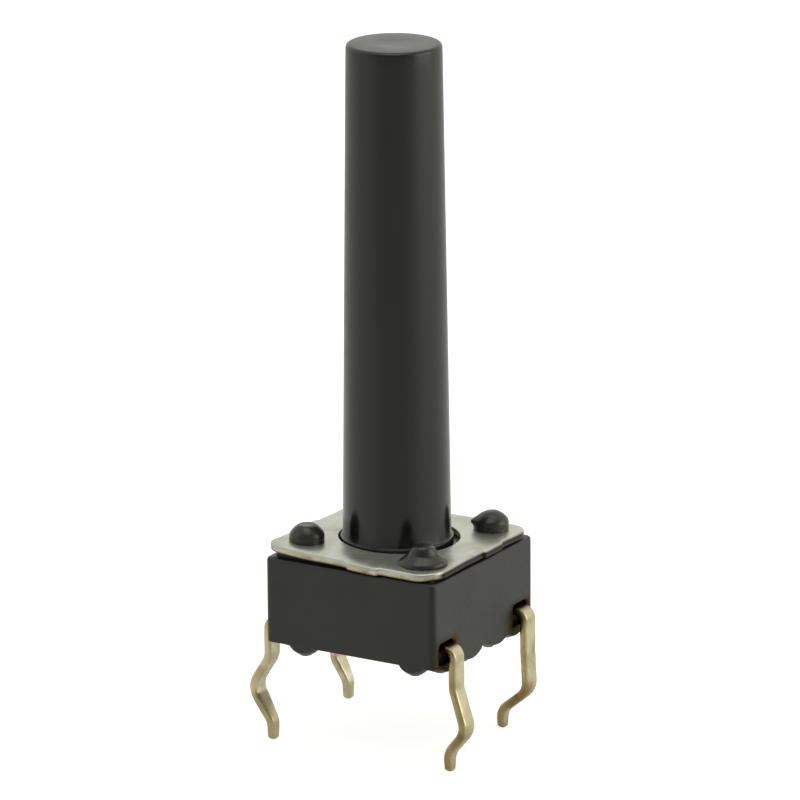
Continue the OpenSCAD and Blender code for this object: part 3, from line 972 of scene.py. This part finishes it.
bm = bmesh.new()
holes_at = [(0, 0, hole_r, 96)] + [(sx * post_y, sy * post_y, post_hole_r, 32) for sx, sy in CORNERS]
rim(bm, plate_ring, roll_r)
for x, y, r, steps in holes_at:
    rim(bm, lambda inset: circle(x, y, r + inset, steps), hole_roll_r)
for level, outer, inner in ((cover_top_z, roll_r, hole_roll_r), (cover_z, low_r, low_r)):
    holes = [circle(x, y, r + inner, steps) for x, y, r, steps in holes_at]
    fill(bm, plate_ring(outer), holes, plate_grid, lambda x, y: level + plate_wave(x, y))
plate = to_object(bm, "cover_plate_stamped")
through = [v.co.z - plate_wave(v.co.x, v.co.y) - cover_z for v in plate.data.vertices]
plate.data.attributes.new("through", "FLOAT", "POINT").data.foreach_set("value", through)
finish_piece(plate, cover_finish, "housing", "cover_metal", "cover_plate")

# %% [markdown]
# ## Plunger
# A turned shape, so we draw half of its outline and spin it: a boss that pushes the dome, a
# flange that the cover holds down, a collar that runs in the cover's hole, and the long stem,
# which tapers so that it leaves its mould. The moulding gate was in the middle of the tip and
# has left a faint dish there. The plunger leans over to the left in its play.

# %% Plunger
stem_base_r, stem_tip_r = mm(1.68, 1.47)
collar_r, boss_r, flange_r = mm(1.75, 1.0, 2.22)
small_r, tip_round, boss_chamfer = mm(0.03, 0.13, 0.25)
collar_h, flange_slack, flange_t = mm(0.06, 0.02, 0.8)
collar_z = cover_top_z + collar_h
flange_top_z = cover_z - flange_slack
flange_z = flange_top_z - flange_t
boss_z, tip_z = plunger_lo.z, plunger_hi.z
# Radius and depth of the dish in the tip, in millimetres
DISH = [(0.75, 0), (0.6, 0.006), (0.35, 0.018), (0.15, 0.022), (0, 0.022)]

half_outline = [
    (0, boss_z), (boss_r - boss_chamfer, boss_z), (boss_r, boss_z + boss_chamfer), (boss_r, flange_z)]
half_outline += arc(flange_r - small_r, flange_z + small_r, small_r, -90, 0, 3)
half_outline += arc(flange_r - small_r, flange_top_z - small_r, small_r, 0, 90, 3)
half_outline += [(collar_r, flange_top_z)]
half_outline += arc(collar_r - small_r, collar_z - small_r, small_r, 0, 90, 4)
half_outline += arc(stem_base_r + small_r, collar_z + small_r, small_r, -90, -180, 3)
stem_foot, stem_end = Vector((stem_base_r, collar_z)), Vector((stem_tip_r, tip_z))
half_outline += [tuple(stem_foot.lerp(stem_end, i / 24)) for i in range(1, 24)]
half_outline += arc(stem_tip_r - tip_round, tip_z - tip_round, tip_round, 2, 90, 7)
half_outline += [(r * MM, tip_z - depth * MM) for r, depth in DISH]

lean = -0.07 * MM * level_right
# The rings on the axis are too small to see, and are merged into one point
least_r = 0.00001 * MM
bm = bmesh.new()
skin(bm, [disc_ring(lean.x, lean.y, max(r, least_r), z, 128) for r, z in half_outline])
plunger = to_object(bm, "plunger_moulded")
finish_piece(plunger, plunger_finish, "button", "plunger_plastic", "plunger")

# %% [markdown]
# ## Contact strips
# Each strip is one piece of sheet metal: a leg, a flat bar moulded into the base, and the other
# leg. A path drawn down the middle of its thickness holds every bend, and Geometry Nodes sweep
# a rounded section along it. Near both ends the tree narrows the section to the leg's tip. It
# keeps what it knows before the sweep, such as the way the path heads, for the points after it.

# %% Helper: keep values for later in a tree
def keep(shape, **values):
    node = put(shape.id_data, "GeometryNodeCaptureAttribute", {"Geometry": shape}, domain="POINT")
    for label, value in values.items():
        node.capture_items.new("VECTOR" if value.type == "VECTOR" else "FLOAT", label)
        feed(node.inputs[label], value)
    return node.outputs


# %% Tree: bent strip
strip_tree, given, result = new_group("bent_strip", "GeometryNodeTree", {
    "Geometry": "Geometry", "Width": 0.64 * MM, "Thickness": 0.27 * MM, "Edge Radius": 0.05 * MM,
    "Tip Width": 0.26 * MM, "Taper": 1.5 * MM, "Step": 0.035 * MM, "Unevenness": 0.0,
    "Finish": "Material"}, {"Geometry": "Geometry"})
here = put(strip_tree, "GeometryNodeInputPosition").outputs[0]
heading = put(strip_tree, "GeometryNodeInputTangent").outputs[0]
walked = put(strip_tree, "GeometryNodeSplineParameter").outputs["Length"]
whole = put(strip_tree, "GeometryNodeSplineLength").outputs["Length"]
nearest_end = calculate("MINIMUM", walked, minus(whole, walked))
even = put(strip_tree, "GeometryNodeResampleCurve", {
    "Curve": given["Geometry"], "Length": given["Step"]}, mode="LENGTH").outputs[0]
path = keep(even, middle=here, heading=heading, from_end=nearest_end)

box = put(strip_tree, "GeometryNodeCurvePrimitiveQuadrilateral", {
    "Width": given["Width"], "Height": given["Thickness"]}).outputs[0]
rounded = put(strip_tree, "GeometryNodeFilletCurve", {
    "Curve": box, "Count": 6, "Radius": given["Edge Radius"]}, mode="POLY").outputs[0]
section = keep(rounded, place=here)
swept = put(strip_tree, "GeometryNodeCurveToMesh", {
    "Curve": path["Geometry"], "Profile Curve": section["Geometry"], "Fill Caps": True}).outputs[0]


# %% Shape of the strip's ends
def rounded_end(radius):
    """From 0.25 at the very end to 1 one radius away, along a quarter circle."""
    left = minus(1.0, calculate("DIVIDE", path["from_end"], radius, clamp=True))
    return calculate("MAXIMUM", calculate("SQRT", minus(1.0, times(left, left))), 0.25)


tip_share = calculate("DIVIDE", given["Tip Width"], given["Width"])
tapered = calculate("DIVIDE", path["from_end"], given["Taper"], clamp=True)
width_share = plus(tip_share, times(minus(1.0, tip_share), tapered))
section_x, section_y = axis(section["place"], "X"), axis(section["place"], "Y")
across = times(section_x, times(width_share, rounded_end(times(given["Tip Width"], 0.5))))
through = times(section_y, rounded_end(times(given["Thickness"], 0.35)))
lift = vector("SCALE", vector("CROSS_PRODUCT", path["heading"], (0, 1, 0)), through)
strip_point = vector("ADD", vector("ADD", path["middle"], lift), combine(strip_tree, Y=across))
placed = move(swept, Position=strip_point)
dents = clouds(here, 1 / (0.5 * MM), 1.0)["Color"]
dented = move(placed, Offset=shake(dents, given["Unevenness"]))

from_edge = minus(times(given["Width"], 0.5), calculate("ABSOLUTE", section_x))
sheared = minus(1.0, calculate("DIVIDE", from_edge, given["Edge Radius"], clamp=True))
marked = store(store(dented, "sheared", sheared), "from_end", path["from_end"])
real = put(strip_tree, "GeometryNodeRealizeInstances", {0: marked}).outputs[0]
hand_out(real, given, result)

# %% [markdown]
# The legs of one switch are never bent alike: they have been pushed through a board or carried
# loose in a bag. So each leg has its own kink depth, kink reach and tip. The path rounds every
# corner with an arc, as the bending tool does.

# %% Paths of the strips
strip_t, strip_w = mm(0.27, 0.64)
strip_mid_z = contact_z - strip_t / 2
leg_gap, leg_inside, leg_run, tip_run = mm(0.115, 0.5, 1.25, 0.6)
leg_x = half_body + leg_gap + strip_t / 2
shoulder_r, kink_r = mm(0.285, 0.585)
# Kink depth, kink reach, tip reach and sideways step in the notch, in millimetres,
# for front left, front right, back right, back left
LEGS = [(1.4, 0.64, 0.01, 0), (1.7, 0.41, 0.24, 0.12), (1.7, 0.07, 0.9, 0), (1.65, 0.43, 0.01, 0)]


def round_corners(points, radii, steps=10):
    path = [points[0]]
    for a, b, c, r in zip(points, points[1:], points[2:], radii):
        u, v = (a - b).normalized(), (c - b).normalized()
        half = u.angle(v) / 2
        centre = b + (u + v).normalized() * r / math.sin(half)
        start = b + u * r / math.tan(half) - centre
        turn = math.copysign(math.pi - 2 * half, (b - a).cross(c - b))
        path += [centre + Matrix.Rotation(turn * i / steps, 2) @ start for i in range(steps + 1)]
    return path + [points[-1]]


def leg_path(side, y, leg):
    """From inside the base to the tip of one leg, on the left (-1) or the right (1)."""
    kink_drop, kink_out, tip_in, step = mm(*leg)
    corners = [
        (leg_x - leg_inside, strip_mid_z), (leg_x, strip_mid_z), (leg_x, strip_mid_z - leg_run),
        (leg_x + kink_out, board_z - kink_drop),
        (leg_x - tip_in, leg_tip_z + tip_run), (leg_x - tip_in, leg_tip_z)]
    path = round_corners([Vector(corner) for corner in corners], [shoulder_r, kink_r, kink_r, kink_r])
    return [(side * p.x, y + step, p.y) for p in path]


def strip_curve(name, y, left, right):
    data = bpy.data.curves.new(name, "CURVE")
    data.dimensions = "3D"
    spline = data.splines.new("POLY")
    path = leg_path(-1, y, LEGS[left])[::-1] + leg_path(1, y, LEGS[right])
    spline.points.add(len(path) - 1)
    for point, place in zip(spline.points, path):
        point.co = (*place, 1)
    return add_object(name, data)


# %% Strips
def flat_part(bm, x0, x1, y0, y1):
    """A flat part of the strip inside the base, with its edges broken."""
    cx, cy, hx, hy = (x0 + x1) / 2, (y0 + y1) / 2, (x1 - x0) / 2, (y1 - y0) / 2
    soft, low_z = 0.03 * MM, contact_z - strip_t
    rings = []
    for inset, z in ((soft, low_z), (0, low_z + soft), (0, contact_z - soft), (soft, contact_z)):
        rings.append([(cx + sx * (hx - inset), cy + sy * (hy - inset), z) for sx, sy in CORNERS])
    skin(bm, rings)


def make_strip(name, y, left, right, flats, node):
    """Left and right are the places of the legs in the list, and flats are in millimetres."""
    swept = run_tree(strip_curve(name, y, left, right), strip_tree, name, {
        "Width": strip_w, "Thickness": strip_t, "Edge Radius": 0.11 * MM, "Tip Width": 0.28 * MM,
        "Taper": 1.4 * MM, "Step": 0.04 * MM, "Unevenness": 0.02 * MM, "Finish": strip_finish})
    bm = bmesh.new()
    bm.from_mesh(swept.data)
    bpy.data.objects.remove(swept)
    for sides in flats:
        flat_part(bm, *mm(*sides))
    finish_piece(to_object(bm, name), strip_finish, "housing", "tinned_brass", node)


bar_y = (leg_y - strip_w / 2) / MM
tongue = (-0.55, 0.55, -bar_y, 0.55)
arms = [(-2.3, -1.5, -1.2, bar_y), (1.5, 2.3, -1.2, bar_y)]
make_strip("centre_strip_bent", -leg_y, 0, 1, [tongue], "centre_contact_strip")
make_strip("rim_strip_bent", leg_y, 3, 2, arms, "rim_contact_strip")

# %% [markdown]
# ## Snap dome
# The dome is a shallow cap of spring steel with two sides cut off. It snaps flat when the
# plunger pushes it.

# %% Dome
dome_r, dome_flat, dome_t, dome_grid = mm(2.2, 1.65, 0.08, 0.2)
dome_rise = dome_hi.z - dome_lo.z - dome_t
dome_curve_r = (dome_r ** 2 + dome_rise ** 2) / (2 * dome_rise)
flat_turn = math.degrees(math.asin(dome_flat / dome_r))
outline = []
for middle_turn in (0, 180):
    outline += arc(0, 0, dome_r, middle_turn - flat_turn, middle_turn + flat_turn, 24)


def dome_height(x, y):
    return dome_lo.z + dome_rise - dome_curve_r + math.sqrt(max(dome_curve_r ** 2 - x * x - y * y, 0))


bm = bmesh.new()
fill(bm, outline, [], dome_grid, dome_height)
dome_shell = to_object(bm, "snap_dome_shell")
if sum(p.normal.z for p in dome_shell.data.polygons) < 0:
    dome_shell.data.flip_normals()
wall = dome_shell.modifiers.new("sheet", "SOLIDIFY")
wall.thickness = dome_t
wall.offset = 1
dome = freeze(dome_shell, "snap_dome_pressed")
finish_piece(dome, dome_finish, "housing", "dome_steel", "snap_dome")
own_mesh(dome)
